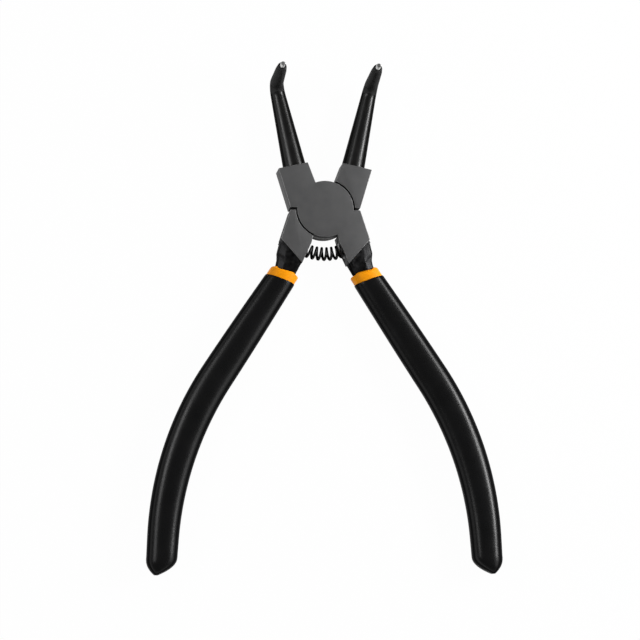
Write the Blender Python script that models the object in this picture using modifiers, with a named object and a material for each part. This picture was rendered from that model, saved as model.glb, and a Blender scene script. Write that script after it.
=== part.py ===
"""Circlip pliers for internal rings, with tips bent to a right angle and dipped handles.

The tool lies flat. +X points right, +Y towards the jaws, +Z up, the way the bent tips point.
The origin is on the pivot axis, in the plane of the joint's back face. Outlines are drawn for
the right-hand side, and side = -1 mirrors them to the left.
"""

import math

import bmesh
import bpy
from mathutils import Matrix, Vector

MM = 0.001
RIGHT, LEFT = 1, -1

# Lap joint
JOINT_THICKNESS = 9.6 * MM
DISC_RADIUS = 9.6 * MM
SHOULDER_GAP = 0.45 * MM
LAP_GAP = 0.3 * MM
EAR_WIDTH = 2.25 * MM
EAR_GAP = 0.7 * MM
DISC_SEGMENTS = 72

# Pivot pin, headed at the back and blind at the front
PIN_SHANK_RADIUS = 3.0 * MM
PIN_HEAD_RADIUS = 4.6 * MM
PIN_HEAD_THICKNESS = 1.7 * MM
FRONT_WALL = 1.4 * MM
RUNNING_GAP = 0.15 * MM

# Jaw block, measured along and across the nose that it carries
NOSE_LEAN = math.radians(12.6)
NOSE_OFFSET = 6.5 * MM
BLOCK_TOP = 16.8 * MM
BLOCK_INNER_STEP = 0.2 * MM
BLOCK_OUTER_STEP = 2.1 * MM
BLOCK_INNER_ANGLE = math.radians(20.3)

# Turned nose, its bend and the pressed-in tip pin
NOSE_BASE_RADIUS = 3.95 * MM
BEND_START = 41.5 * MM
BEND_START_RADIUS = 2.6 * MM
BEND_RADIUS = 4.7 * MM
BEND_END_RADIUS = 2.25 * MM
NOSE_END_RADIUS = 1.55 * MM
NOSE_END_ROUNDING = 0.5 * MM
TIP_LEAN_INWARDS = math.radians(2.0)
TIP_LEAN_FORWARDS = math.radians(5.5)
TIP_HEIGHT = 22.6 * MM
TIP_PIN_RADIUS = 0.8 * MM
TIP_PIN_STAND = 2.8 * MM
TIP_PIN_SEAT = 4.0 * MM
NOSE_ROOT = 3.0 * MM
NOSE_SEGMENTS = 20
BEND_STEPS = 8
TIP_PIN_SEGMENTS = 24

# Tang between the joint and the handle
GROUND_CORNER = (15.1 * MM, -10.3 * MM)
GROUND_HEEL = (8.0 * MM, -18.5 * MM)
TANG_OUTER_BULGE = (15.9 * MM, -15.6 * MM)
TANG_INNER_BEND = (4.8 * MM, -11.6 * MM)
TANG_INNER_ANGLE = math.radians(25.0)
TANG_END_WIDTH = 7.5 * MM
FORGING_DROP = 1.5 * MM
FORGING_START = 0.15 * MM

# Handle, its steel core and the two dipped coats
HANDLE_TOP = (13.4 * MM, -21.1 * MM)
HANDLE_ANGLE = math.radians(33.1)
HANDLE_STRAIGHT = 42.2 * MM
HANDLE_ARC_RADIUS = 111.0 * MM
HANDLE_END_ANGLE = math.radians(3.4)
HANDLE_TAIL = 12.4 * MM
DIP_ANGLE = math.radians(17.0)
CORE_WIDTH = 6.2 * MM
CORE_THICKNESS = 5.0 * MM
CORE_CORNER = 1.2 * MM
CORE_END_INSET = 7.5 * MM
CORE_ROOT = 3.6 * MM
COAT_GAP = 0.3 * MM
UNDERCOAT_WALL = 0.55 * MM
COLLAR_LENGTH = 3.1 * MM
COLLAR_TOP_WIDTH = 9.7 * MM
COLLAR_BOTTOM_WIDTH = 9.8 * MM
COLLAR_THICKNESS = 8.6 * MM
SLANT_LENGTH = 15.5 * MM
GRIP_TOP_WIDTH = 10.0 * MM
GRIP_MIDDLE_WIDTH = 11.7 * MM
GRIP_END_WIDTH = 10.1 * MM
GRIP_MIDDLE_AT = 47.0 * MM
GRIP_NOSE_LENGTH = 6.0 * MM
GRIP_NOSE_TAPER = 2.2
GRIP_NOSE_SKEW = 1.6
GRIP_NOSE_STEPS = 5
GRIP_APEX_OFFSET = 1.65 * MM
GRIP_APEX_WIDTH = 1.2 * MM
GRIP_APEX_THICKNESS = 3.0 * MM
GRIP_SQUARENESS = 2.3
GRIP_SEGMENTS = 20
GRIP_STEP = 7.0 * MM

# Return spring between the tangs
SPRING_HEIGHT = -13.75 * MM
SPRING_RADIUS = 2.4 * MM
SPRING_WIRE_RADIUS = 0.46 * MM
SPRING_TURNS = 10
SPRING_CLOSED_TURNS = 1.0
SPRING_TILT = math.radians(20.0)
SPRING_GAP = 0.4 * MM
SPRING_COIL_GAP = 0.08 * MM
POCKET_DEPTH = 3.2 * MM
POCKET_SEGMENTS = 32
POINTS_PER_TURN = 16
WIRE_RESOLUTION = 2

MIDDLE = JOINT_THICKNESS / 2

# Pieces that turn together about the pivot
FRONT_HALF = ("front_lever", "pivot_pin", "left_tip_pin", "right_undercoat", "right_grip")


def clear_scene():
    for item in list(bpy.data.objects):
        bpy.data.objects.remove(item, do_unlink=True)


def new_collection(name):
    made = bpy.data.collections.new(name)
    bpy.context.scene.collection.children.link(made)
    return made


def new_material(name, colour, metallic, roughness):
    made = bpy.data.materials.new(name)
    made.use_nodes = True
    shader = made.node_tree.nodes["Principled BSDF"]
    shader.inputs["Base Color"].default_value = (*colour, 1.0)
    shader.inputs["Metallic"].default_value = metallic
    shader.inputs["Roughness"].default_value = roughness
    return made


def add_object(name, data, collection):
    made = bpy.data.objects.new(name, data)
    collection.objects.link(made)
    return made


def finish_mesh(name, shape, collection):
    """A mesh object from a bmesh, with its faces turned outwards and its round sides smooth."""
    bmesh.ops.recalc_face_normals(shape, faces=shape.faces)
    mesh = bpy.data.meshes.new(name)
    shape.to_mesh(mesh)
    shape.free()
    mesh.shade_smooth()
    mesh.set_sharp_from_angle(angle=math.radians(32))
    return add_object(name, mesh, collection)


def curve_as_mesh(curve_object, collection):
    """The curve's solid as a mesh object in its place, with its caps welded on."""
    graph = bpy.context.evaluated_depsgraph_get()
    mesh = bpy.data.meshes.new_from_object(curve_object.evaluated_get(graph))
    shape = bmesh.new()
    shape.from_mesh(mesh)
    bmesh.ops.remove_doubles(shape, verts=shape.verts, dist=1e-6)
    name, place = curve_object.name, curve_object.matrix_world.copy()
    curve = curve_object.data
    bpy.data.objects.remove(curve_object)
    bpy.data.curves.remove(curve)
    bpy.data.meshes.remove(mesh)
    made = finish_mesh(name, shape, collection)
    made.matrix_world = place
    return made


def plate(name, outline, bottom, top, collection):
    """A flat outline with straight walls from bottom to top."""
    curve = bpy.data.curves.new(name, "CURVE")
    curve.dimensions = "2D"
    curve.fill_mode = "BOTH"
    curve.extrude = (top - bottom) / 2
    spline = curve.splines.new("POLY")
    spline.points.add(len(outline) - 1)
    for point, (x, y) in zip(spline.points, outline):
        point.co = (x, y, 0, 1)
    spline.use_cyclic_u = True
    made = add_object(name, curve, collection)
    made.location.z = (top + bottom) / 2
    bpy.context.view_layer.update()
    return curve_as_mesh(made, collection)


def round_wire(name, points, radii, sides_resolution, collection):
    """A round bar through the points, with a radius of its own at each of them."""
    curve = bpy.data.curves.new(name, "CURVE")
    curve.dimensions = "3D"
    curve.bevel_depth = 1.0
    curve.bevel_resolution = sides_resolution
    curve.use_fill_caps = True
    spline = curve.splines.new("POLY")
    spline.points.add(len(points) - 1)
    for point, place, radius in zip(spline.points, points, radii):
        point.co = (*place, 1)
        point.radius = radius
    made = add_object(name, curve, collection)
    bpy.context.view_layer.update()
    return curve_as_mesh(made, collection)


def cylinder(name, radius, length, place, collection, segments=DISC_SEGMENTS):
    """A cylinder that starts at the origin of place and runs up its local Z axis."""
    shape = bmesh.new()
    bmesh.ops.create_cone(
        shape,
        cap_ends=True,
        segments=segments,
        radius1=radius,
        radius2=radius,
        depth=length,
        matrix=Matrix.Translation((0, 0, length / 2)),
    )
    made = finish_mesh(name, shape, collection)
    made.matrix_world = place
    return made


def loft(name, rings, collection):
    """A closed skin through rings of equal length, with a flat cap on the first and last."""
    shape = bmesh.new()
    rows = [[shape.verts.new(point) for point in ring] for ring in rings]
    for row, following in zip(rows, rows[1:]):
        for i, corner in enumerate(row):
            shape.faces.new((row[i - 1], corner, following[i], following[i - 1]))
    shape.faces.new(rows[0])
    shape.faces.new(rows[-1])
    return finish_mesh(name, shape, collection)


def boolean(target, operation, tool):
    modifier = target.modifiers.new(tool.name, "BOOLEAN")
    modifier.operation = operation
    modifier.solver = "EXACT"
    modifier.object = tool


def join_to_pivot(items, collection):
    """An empty on the joint's axis that carries the pieces of the front half."""
    pivot = add_object("pivot_axis", None, collection)
    for item in items:
        item.parent = pivot


def hide_helpers(collection):
    for item in collection.objects:
        item.hide_render = True
        item.display_type = "WIRE"


def mirrored(points, side):
    return [(side * x, y) for x, y in points]


def polar(radius, angle):
    """The point at this distance from the pivot and this angle outwards from the line ahead."""
    return (radius * math.sin(angle), radius * math.cos(angle))


def nose_frame(side):
    """Unit vectors along the nose and across it, outwards."""
    along = Vector((side * math.sin(NOSE_LEAN), math.cos(NOSE_LEAN), 0))
    across = Vector((side * math.cos(NOSE_LEAN), -math.sin(NOSE_LEAN), 0))
    return along, across


def in_nose_frame(side, ahead, aside, height=MIDDLE):
    along, across = nose_frame(side)
    return along * ahead + across * aside + Vector((0, 0, height))


def block_outline():
    inner = in_nose_frame(RIGHT, BLOCK_TOP, NOSE_OFFSET - NOSE_BASE_RADIUS - BLOCK_INNER_STEP)
    outer = in_nose_frame(RIGHT, BLOCK_TOP, NOSE_OFFSET + NOSE_BASE_RADIUS + BLOCK_OUTER_STEP)
    return [
        (DISC_RADIUS / 2, EAR_GAP / 2),
        (DISC_RADIUS + EAR_WIDTH, EAR_GAP / 2),
        outer.xy,
        inner.xy,
        polar(DISC_RADIUS, BLOCK_INNER_ANGLE),
        polar(DISC_RADIUS / 2, BLOCK_INNER_ANGLE),
    ]


def tip_direction(side):
    """The way the bent end points: up, leaning a little forwards and towards the other jaw."""
    along, across = nose_frame(side)
    lean = along * math.tan(TIP_LEAN_FORWARDS) - across * math.tan(TIP_LEAN_INWARDS)
    return (Vector((0, 0, 1)) + lean).normalized()


def bend_angle(side):
    return nose_frame(side)[0].angle(tip_direction(side))


def bend_point(side, angle):
    """The bend's centreline once it has turned this far."""
    along, direction = nose_frame(side)[0], tip_direction(side)
    upwards = (direction - along * direction.dot(along)).normalized()
    sweep = along * math.sin(angle) + upwards * (1 - math.cos(angle))
    return in_nose_frame(side, BEND_START, NOSE_OFFSET) + sweep * BEND_RADIUS


def nose_end(side):
    """The centre of the shoulder that the tip pin stands on."""
    bend_end = bend_point(side, bend_angle(side))
    direction = tip_direction(side)
    length = (MIDDLE + TIP_HEIGHT - bend_end.z) / direction.z - TIP_PIN_STAND
    return bend_end + direction * length


def tip_place(side, below):
    """The placement of something on the tip's axis, starting this far below the shoulder."""
    direction = tip_direction(side)
    turn = direction.to_track_quat("Z", "Y").to_matrix().to_4x4()
    return Matrix.Translation(nose_end(side) - direction * below) @ turn


def nose(side, helpers):
    shares = [step / BEND_STEPS for step in range(BEND_STEPS + 1)]
    points = [in_nose_frame(side, BLOCK_TOP - NOSE_ROOT, NOSE_OFFSET)]
    points.append(in_nose_frame(side, BLOCK_TOP, NOSE_OFFSET))
    points += [bend_point(side, bend_angle(side) * share) for share in shares]
    taper = BEND_END_RADIUS - BEND_START_RADIUS
    radii = [NOSE_BASE_RADIUS, NOSE_BASE_RADIUS]
    radii += [BEND_START_RADIUS + taper * share for share in shares]
    points.append(nose_end(side) - tip_direction(side) * NOSE_END_ROUNDING)
    points.append(nose_end(side))
    radii += [NOSE_END_RADIUS, NOSE_END_RADIUS - NOSE_END_ROUNDING / 2]
    return round_wire(f"nose_{side}", points, radii, NOSE_SEGMENTS // 2 - 2, helpers)


def tang_end(offset):
    """A point on the line where the tang meets the collar, this far outwards."""
    x, y = HANDLE_TOP
    return (x + offset * math.cos(DIP_ANGLE), y + offset * math.sin(DIP_ANGLE))


def tang_outline():
    inner = polar(DISC_RADIUS, math.pi - TANG_INNER_ANGLE)
    return [
        (DISC_RADIUS / 2, -EAR_GAP / 2),
        polar(DISC_RADIUS / 2, math.pi - TANG_INNER_ANGLE),
        inner,
        TANG_INNER_BEND,
        GROUND_HEEL,
        tang_end(-TANG_END_WIDTH / 2),
        tang_end(TANG_END_WIDTH / 2),
        TANG_OUTER_BULGE,
        GROUND_CORNER,
        (DISC_RADIUS + EAR_WIDTH, -EAR_GAP / 2),
    ]


def forging_slope(side, facing, helpers):
    """A block whose underside is the slope from the ground face down to the handle."""
    edge = (Vector(GROUND_HEEL) - Vector(GROUND_CORNER)).normalized()
    away = Vector((-edge.y, edge.x))
    corner = Vector(GROUND_CORNER) + away * FORGING_START
    reach = away.dot(Vector(HANDLE_TOP) - corner)
    slope = math.atan2(FORGING_DROP, reach)
    size = 4 * reach
    shape = bmesh.new()
    bmesh.ops.create_cube(shape, size=1.0)
    bmesh.ops.translate(shape, verts=shape.verts, vec=(0, 0.5, 0.5))
    bmesh.ops.scale(shape, verts=shape.verts, vec=(2 * size, size, size / 2))
    down = Vector((away.x, away.y, 0)) * math.cos(slope) - Vector((0, 0, math.sin(slope)))
    line = Vector((edge.x, edge.y, 0))
    turn = Matrix((line, down, line.cross(down))).transposed().to_4x4()
    lift = Matrix.Translation((corner.x, corner.y, JOINT_THICKNESS - MIDDLE))
    place = Matrix.Diagonal((side, 1, facing, 1)) @ lift @ turn
    bmesh.ops.transform(shape, matrix=Matrix.Translation((0, 0, MIDDLE)) @ place, verts=shape.verts)
    name = f"forging_slope_{side}_{facing}"
    return finish_mesh(name, shape, helpers)


def handle_length():
    turn = HANDLE_ANGLE - HANDLE_END_ANGLE
    return HANDLE_STRAIGHT + HANDLE_ARC_RADIUS * turn + HANDLE_TAIL


def handle_point(distance):
    """The handle's centreline at this distance past the collar, and its angle outwards."""
    x, y = HANDLE_TOP
    straight = min(distance, HANDLE_STRAIGHT)
    x += straight * math.sin(HANDLE_ANGLE)
    y -= straight * math.cos(HANDLE_ANGLE)
    arc_length = HANDLE_ARC_RADIUS * (HANDLE_ANGLE - HANDLE_END_ANGLE)
    on_arc = min(max(distance - HANDLE_STRAIGHT, 0), arc_length)
    angle = HANDLE_ANGLE - on_arc / HANDLE_ARC_RADIUS
    x += HANDLE_ARC_RADIUS * (math.cos(angle) - math.cos(HANDLE_ANGLE))
    y -= HANDLE_ARC_RADIUS * (math.sin(HANDLE_ANGLE) - math.sin(angle))
    tail = max(distance - HANDLE_STRAIGHT - arc_length, 0)
    return x + tail * math.sin(angle), y - tail * math.cos(angle), angle


def handle_section(side, distance, width, thickness, squareness, slant=0.0, aside=0.0):
    """A rounded section of the handle; slant tips its plane from square towards the dip line."""
    ring = []
    for step in range(GRIP_SEGMENTS):
        turn = 2 * math.pi * step / GRIP_SEGMENTS
        across = width / 2 * rounded(math.cos(turn), squareness) + aside
        up = thickness / 2 * rounded(math.sin(turn), squareness)
        x, y, angle = handle_point(distance + across * slant)
        x += across * math.cos(angle)
        y += across * math.sin(angle)
        ring.append((side * x, y, MIDDLE + up))
    return ring


def rounded(value, squareness):
    return math.copysign(abs(value) ** (2 / squareness), value)


def stations(start, end):
    """Distances from start to end, evenly spread about one step apart."""
    count = max(2, round((end - start) / GRIP_STEP))
    return [start + (end - start) * i / count for i in range(count + 1)]


def core(side, helpers):
    """The steel bar inside the handle, from within the tang."""
    start, end = -CORE_ROOT, handle_length() - CORE_END_INSET
    squareness = CORE_WIDTH / CORE_CORNER
    rings = [
        handle_section(side, distance, CORE_WIDTH, CORE_THICKNESS, squareness)
        for distance in stations(start, end)
    ]
    return loft(f"core_{side}", rings, helpers)


def grip_width(distance):
    """The grip's width: it swells to the middle of the hand and narrows to the end."""
    if distance < GRIP_MIDDLE_AT:
        share, from_width = distance / GRIP_MIDDLE_AT, GRIP_TOP_WIDTH
    else:
        rest = handle_length() - GRIP_MIDDLE_AT
        share, from_width = (handle_length() - distance) / rest, GRIP_END_WIDTH
    return from_width + (GRIP_MIDDLE_WIDTH - from_width) * math.sin(share * math.pi / 2)


def dip_slant(distance):
    """How far the section's plane leans back to the dip line, fading out below the collar."""
    fade = max(0.0, 1 - distance / SLANT_LENGTH)
    return math.tan(HANDLE_ANGLE - DIP_ANGLE) * fade


def inner_sections(side, width, thickness, start, end):
    """The sections of a blind bore, from its floor to its mouth."""
    squareness = CORE_WIDTH / CORE_CORNER
    return [
        handle_section(side, at, width, thickness, squareness, dip_slant(at))
        for at in reversed(stations(start, end))
    ]


def undercoat(name, side, collection):
    """The coloured first coat: a collar above the grip, thinner where the grip covers it."""
    bore = CORE_WIDTH + 2 * COAT_GAP, CORE_THICKNESS + 2 * COAT_GAP
    skin = bore[0] + 2 * UNDERCOAT_WALL, bore[1] + 2 * UNDERCOAT_WALL
    floor = handle_length() - CORE_END_INSET + COAT_GAP
    end = floor + UNDERCOAT_WALL
    rings = inner_sections(side, *bore, COAT_GAP, floor)
    for at, width in ((COAT_GAP, COLLAR_TOP_WIDTH), (COLLAR_LENGTH, COLLAR_BOTTOM_WIDTH)):
        slant = dip_slant(at)
        rings.append(handle_section(side, at, width, COLLAR_THICKNESS, GRIP_SQUARENESS, slant))
    squareness = CORE_WIDTH / CORE_CORNER
    for at in stations(COLLAR_LENGTH, end):
        rings.append(handle_section(side, at, *skin, squareness, dip_slant(at)))
    return loft(name, rings, collection)


def grip(name, side, collection):
    """The outer coat, from the collar to the blunt, slightly skewed end."""
    reach = 2 * (2 * COAT_GAP + UNDERCOAT_WALL)
    start = COLLAR_LENGTH + COAT_GAP
    floor = handle_length() - CORE_END_INSET + 2 * COAT_GAP + UNDERCOAT_WALL
    rings = inner_sections(side, CORE_WIDTH + reach, CORE_THICKNESS + reach, start, floor)
    shoulder = handle_length() - GRIP_NOSE_LENGTH
    for at in stations(start, shoulder):
        width = grip_width(at)
        rings.append(
            handle_section(side, at, width, JOINT_THICKNESS, GRIP_SQUARENESS, dip_slant(at))
        )
    for step in range(1, GRIP_NOSE_STEPS + 1):
        turn = math.pi / 2 * step / GRIP_NOSE_STEPS
        share, dome = math.sin(turn), math.cos(turn)
        wedge = 1 - share**GRIP_NOSE_TAPER
        width = GRIP_APEX_WIDTH + (grip_width(shoulder) - GRIP_APEX_WIDTH) * wedge
        thickness = GRIP_APEX_THICKNESS + (JOINT_THICKNESS - GRIP_APEX_THICKNESS) * dome
        at = shoulder + GRIP_NOSE_LENGTH * share
        aside = GRIP_APEX_OFFSET * share**GRIP_NOSE_SKEW
        rings.append(handle_section(side, at, width, thickness, GRIP_SQUARENESS, 0.0, aside))
    return loft(name, rings, collection)


def tang_inner_x(y):
    """The tang's inner face at this height, between its bend and the heel of the ground face."""
    (x0, y0), (x1, y1) = TANG_INNER_BEND, GROUND_HEEL
    return x0 + (x1 - x0) * (y - y0) / (y1 - y0)


def spring_seat(side):
    """The middle of the pocket's mouth and the way into the tang along its axis."""
    mouth = Vector((side * tang_inner_x(SPRING_HEIGHT), SPRING_HEIGHT, MIDDLE))
    inwards = Vector((side * math.cos(SPRING_TILT), math.sin(SPRING_TILT), 0))
    return mouth, inwards


def spring_pocket(side, helpers):
    mouth, inwards = spring_seat(side)
    start = mouth - inwards * SPRING_RADIUS
    turn = inwards.to_track_quat("Z", "Y").to_matrix().to_4x4()
    radius = SPRING_RADIUS + SPRING_GAP
    length = SPRING_RADIUS + POCKET_DEPTH
    place = Matrix.Translation(start) @ turn
    return cylinder(
        f"spring_pocket_{side}", radius, length, place, helpers, POCKET_SEGMENTS
    )


def spring_centreline(share):
    """A point on the spring's gentle bow and the way sideways from it, share running 0 to 1."""
    half_chord = spring_seat(RIGHT)[0].x
    bow_radius = half_chord / math.sin(SPRING_TILT)
    inside = (POCKET_DEPTH - SPRING_GAP - SPRING_WIRE_RADIUS) / bow_radius
    angle = (2 * share - 1) * (SPRING_TILT + inside)
    centre = Vector((0, SPRING_HEIGHT + bow_radius * math.cos(SPRING_TILT), MIDDLE))
    outwards = Vector((math.sin(angle), -math.cos(angle), 0))
    return centre + outwards * bow_radius, outwards


def spring_share(turn):
    """How far along the spring a turn lies: the end turns lie close, the others are open."""
    closed = SPRING_CLOSED_TURNS * (2 * SPRING_WIRE_RADIUS + SPRING_COIL_GAP)
    length = 2 * (tang_inner_x(SPRING_HEIGHT) + POCKET_DEPTH)
    end_share = closed / length
    if turn < SPRING_CLOSED_TURNS:
        return end_share * turn / SPRING_CLOSED_TURNS
    if turn > SPRING_TURNS - SPRING_CLOSED_TURNS:
        return 1 - end_share * (SPRING_TURNS - turn) / SPRING_CLOSED_TURNS
    open_turns = SPRING_TURNS - 2 * SPRING_CLOSED_TURNS
    return end_share + (1 - 2 * end_share) * (turn - SPRING_CLOSED_TURNS) / open_turns


def return_spring(name, collection):
    radius = SPRING_RADIUS - SPRING_WIRE_RADIUS
    points = []
    for step in range(SPRING_TURNS * POINTS_PER_TURN + 1):
        turn = step / POINTS_PER_TURN
        middle, outwards = spring_centreline(spring_share(turn))
        angle = 2 * math.pi * turn
        up = Vector((0, 0, math.sin(angle)))
        points.append(middle + (outwards * math.cos(angle) + up) * radius)
    radii = [SPRING_WIRE_RADIUS] * len(points)
    return round_wire(name, points, radii, WIRE_RESOLUTION, collection)


def upright(x=0.0, y=0.0, z=0.0):
    return Matrix.Translation((x, y, z))


def lap_hollow(name, disc_in_front, helpers):
    """The space for the other half's disc, through the level that this half leaves free."""
    depth = MIDDLE + LAP_GAP / 2
    start = -JOINT_THICKNESS if disc_in_front else JOINT_THICKNESS - depth
    return cylinder(name, DISC_RADIUS + SHOULDER_GAP, depth + JOINT_THICKNESS, upright(z=start), helpers)


def shank_top():
    return JOINT_THICKNESS - FRONT_WALL


def pivot_bores(name, disc_in_front, helpers):
    """The holes for the pivot pin: a blind one in front, a counterbored one at the back."""
    radius = PIN_SHANK_RADIUS + RUNNING_GAP
    if disc_in_front:
        length = shank_top() + RUNNING_GAP
        return [cylinder(f"{name}_bore", radius, length, upright(), helpers)]
    through = cylinder(
        f"{name}_bore", radius, 2 * JOINT_THICKNESS, upright(z=-MIDDLE), helpers
    )
    head_depth = PIN_HEAD_THICKNESS + RUNNING_GAP
    head = cylinder(
        f"{name}_counterbore",
        PIN_HEAD_RADIUS + RUNNING_GAP,
        MIDDLE + head_depth,
        upright(z=-MIDDLE),
        helpers,
    )
    return [through, head]


def tip_bore(side, helpers):
    radius = TIP_PIN_RADIUS + RUNNING_GAP
    depth = TIP_PIN_SEAT + RUNNING_GAP
    place = tip_place(side, depth)
    return cylinder(f"tip_bore_{side}", radius, 2 * depth, place, helpers, TIP_PIN_SEGMENTS)


def lever(name, jaw_side, disc_in_front, collection, helpers):
    """One half: a jaw on one side, its disc across the pivot and a handle on the other side."""
    tang_side = -jaw_side
    top = JOINT_THICKNESS
    body = plate(name, mirrored(block_outline(), jaw_side), 0, top, collection)
    disc = cylinder(f"{name}_disc", DISC_RADIUS, top, upright(), helpers)
    tang = plate(f"{name}_tang", mirrored(tang_outline(), tang_side), 0, top, helpers)
    boolean(body, "UNION", disc)
    boolean(body, "UNION", tang)
    for facing in (1, -1):
        boolean(body, "DIFFERENCE", forging_slope(tang_side, facing, helpers))
    boolean(body, "UNION", core(tang_side, helpers))
    boolean(body, "UNION", nose(jaw_side, helpers))
    boolean(body, "DIFFERENCE", lap_hollow(f"{name}_hollow", disc_in_front, helpers))
    for bore in pivot_bores(name, disc_in_front, helpers):
        boolean(body, "DIFFERENCE", bore)
    boolean(body, "DIFFERENCE", spring_pocket(tang_side, helpers))
    boolean(body, "DIFFERENCE", tip_bore(jaw_side, helpers))
    return body


def pivot_pin(name, collection):
    """The pin's turned profile, outer side from top to bottom, spun about the pivot axis."""
    profile = [
        (0, shank_top()),
        (PIN_SHANK_RADIUS, shank_top()),
        (PIN_SHANK_RADIUS, PIN_HEAD_THICKNESS),
        (PIN_HEAD_RADIUS, PIN_HEAD_THICKNESS),
        (PIN_HEAD_RADIUS, 0),
        (0, 0),
    ]
    shape = bmesh.new()
    corners = [shape.verts.new((radius, 0, height)) for radius, height in profile]
    for first, second in zip(corners, corners[1:]):
        shape.edges.new((first, second))
    mesh = bpy.data.meshes.new(name)
    shape.to_mesh(mesh)
    shape.free()
    made = add_object(name, mesh, collection)
    screw = made.modifiers.new("turned", "SCREW")
    screw.steps = screw.render_steps = DISC_SEGMENTS
    screw.use_merge_vertices = True
    screw.merge_threshold = 0.01 * MM
    return made


def tip_pin(name, side, collection):
    length = TIP_PIN_SEAT + TIP_PIN_STAND
    place = tip_place(side, TIP_PIN_SEAT)
    return cylinder(name, TIP_PIN_RADIUS, length, place, collection, TIP_PIN_SEGMENTS)


def paint(item, material):
    item.data.materials.clear()
    item.data.materials.append(material)


def build():
    clear_scene()
    parts = new_collection("circlip_pliers")
    helpers = new_collection("cutters")
    steel = new_material("ground_steel", (0.093, 0.093, 0.093), 0.6, 0.5)
    bright = new_material("bright_steel", (0.62, 0.62, 0.62), 1.0, 0.25)
    black_steel = new_material("black_steel", (0.012, 0.012, 0.012), 0.8, 0.35)
    orange = new_material("orange_vinyl", (0.9, 0.33, 0.015), 0.0, 0.45)
    black = new_material("black_vinyl", (0.01, 0.01, 0.01), 0.0, 0.4)
    made = {
        "front_lever": lever("front_lever", LEFT, True, parts, helpers),
        "back_lever": lever("back_lever", RIGHT, False, parts, helpers),
        "pivot_pin": pivot_pin("pivot_pin", parts),
        "return_spring": return_spring("return_spring", parts),
    }
    for name in ("front_lever", "back_lever", "pivot_pin"):
        paint(made[name], steel)
    paint(made["return_spring"], black_steel)
    for word, side in (("left", LEFT), ("right", RIGHT)):
        for kind, shape, material in (
            ("tip_pin", tip_pin, bright),
            ("undercoat", undercoat, orange),
            ("grip", grip, black),
        ):
            name = f"{word}_{kind}"
            made[name] = shape(name, side, parts)
            paint(made[name], material)
    join_to_pivot([made[name] for name in FRONT_HALF], parts)
    hide_helpers(helpers)


build()
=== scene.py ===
"""Looks of the circlip pliers: ground steel, turned noses, dipped handles and a coil spring.

Everything is in metres in the CAD frame: the tool lies flat on z = 0, +Y runs towards the jaws
and the bent tips point along +Z. Outlines are drawn for the right-hand side, and side = LEFT
mirrors them. The front half has the left jaw and the right handle.
"""

import math

import bmesh
import bpy
from mathutils import Matrix, Vector, noise


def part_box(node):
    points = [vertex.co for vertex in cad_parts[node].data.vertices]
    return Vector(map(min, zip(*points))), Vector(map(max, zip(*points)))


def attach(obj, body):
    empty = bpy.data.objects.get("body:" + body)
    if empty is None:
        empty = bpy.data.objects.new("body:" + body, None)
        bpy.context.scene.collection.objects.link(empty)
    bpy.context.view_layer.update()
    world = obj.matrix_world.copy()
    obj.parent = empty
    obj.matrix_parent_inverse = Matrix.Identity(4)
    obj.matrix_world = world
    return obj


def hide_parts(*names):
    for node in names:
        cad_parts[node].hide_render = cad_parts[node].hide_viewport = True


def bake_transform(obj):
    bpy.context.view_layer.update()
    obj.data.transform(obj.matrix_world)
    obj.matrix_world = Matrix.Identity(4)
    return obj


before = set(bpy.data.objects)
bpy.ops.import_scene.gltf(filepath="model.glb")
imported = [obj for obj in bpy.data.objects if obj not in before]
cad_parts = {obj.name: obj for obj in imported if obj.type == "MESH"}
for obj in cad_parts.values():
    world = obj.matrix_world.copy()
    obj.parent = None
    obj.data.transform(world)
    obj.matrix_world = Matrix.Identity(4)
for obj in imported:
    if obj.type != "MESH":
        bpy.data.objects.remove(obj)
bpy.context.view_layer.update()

MM = 0.001
RIGHT, LEFT = 1, -1

# Meshes: points round a section, and the bend above which an edge is shaded sharp
AROUND = 72
PIN_AROUND = 40
POCKET_AROUND = 48
WIRE_AROUND = 16
ARC_STEP = math.radians(3.0)
TURNED_CREASE = math.radians(32)
PLATE_CREASE = math.radians(24)
FORGING_CREASE = math.radians(16)
CORE_CREASE = math.radians(40)
COAT_CREASE = math.radians(50)
# Plates: how finely corners are told apart, and the bends that count as flat or as an edge
CORNERS_PER_METRE = 1e7
FLAT_ENOUGH = math.radians(0.3)
EDGE_TO_BREAK = 0.4

# Lap joint
THICKNESS = 9.6 * MM
MIDDLE = THICKNESS / 2
DISC_RADIUS = 9.6 * MM
HOLLOW_RADIUS = 10.05 * MM
LAP_GAP = 0.3 * MM
EAR_REACH = 11.85 * MM
EAR_GAP = 0.7 * MM
EDGE_BREAK = 0.2 * MM
PIN_HEAD_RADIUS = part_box("pivot_pin")[1].x
PIN_HEAD_THICKNESS = 1.7 * MM
RUNNING_GAP = 0.15 * MM
# What tells walls and flat faces from broken edges, and the jaw's walls from the rim's
WALL_NORMAL_Z = 0.05
FLAT_NORMAL_Z = 0.98
RIM_MARGIN = 0.1 * MM

# Jaw block and nose
NOSE_LEAN = math.radians(12.6)
NOSE_OFFSET = 6.5 * MM
BLOCK_TOP = 16.8 * MM
BLOCK_INNER = 2.35 * MM
BLOCK_OUTER = 12.55 * MM
BLOCK_INNER_ANGLE = math.radians(20.3)
NOSE_BASE_RADIUS = 3.95 * MM
NOSE_ROOT = 1.5 * MM
CONE_STEPS = 14
BEND_START = 41.5 * MM
BEND_START_RADIUS = 2.6 * MM
BEND_RADIUS = 4.7 * MM
BEND_END_RADIUS = 2.25 * MM
BEND_STEPS = 18
MATTE_FROM = BEND_START + 1.5 * MM
NOSE_END_RADIUS = 1.55 * MM
TIP_LEAN_INWARDS = math.radians(2.0)
TIP_LEAN_FORWARDS = math.radians(5.5)
TIP_HEIGHT = 22.6 * MM
TIP_PIN_RADIUS = 0.8 * MM
TIP_PIN_STAND = 2.8 * MM
TIP_PIN_SEAT = 1.5 * MM
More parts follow.
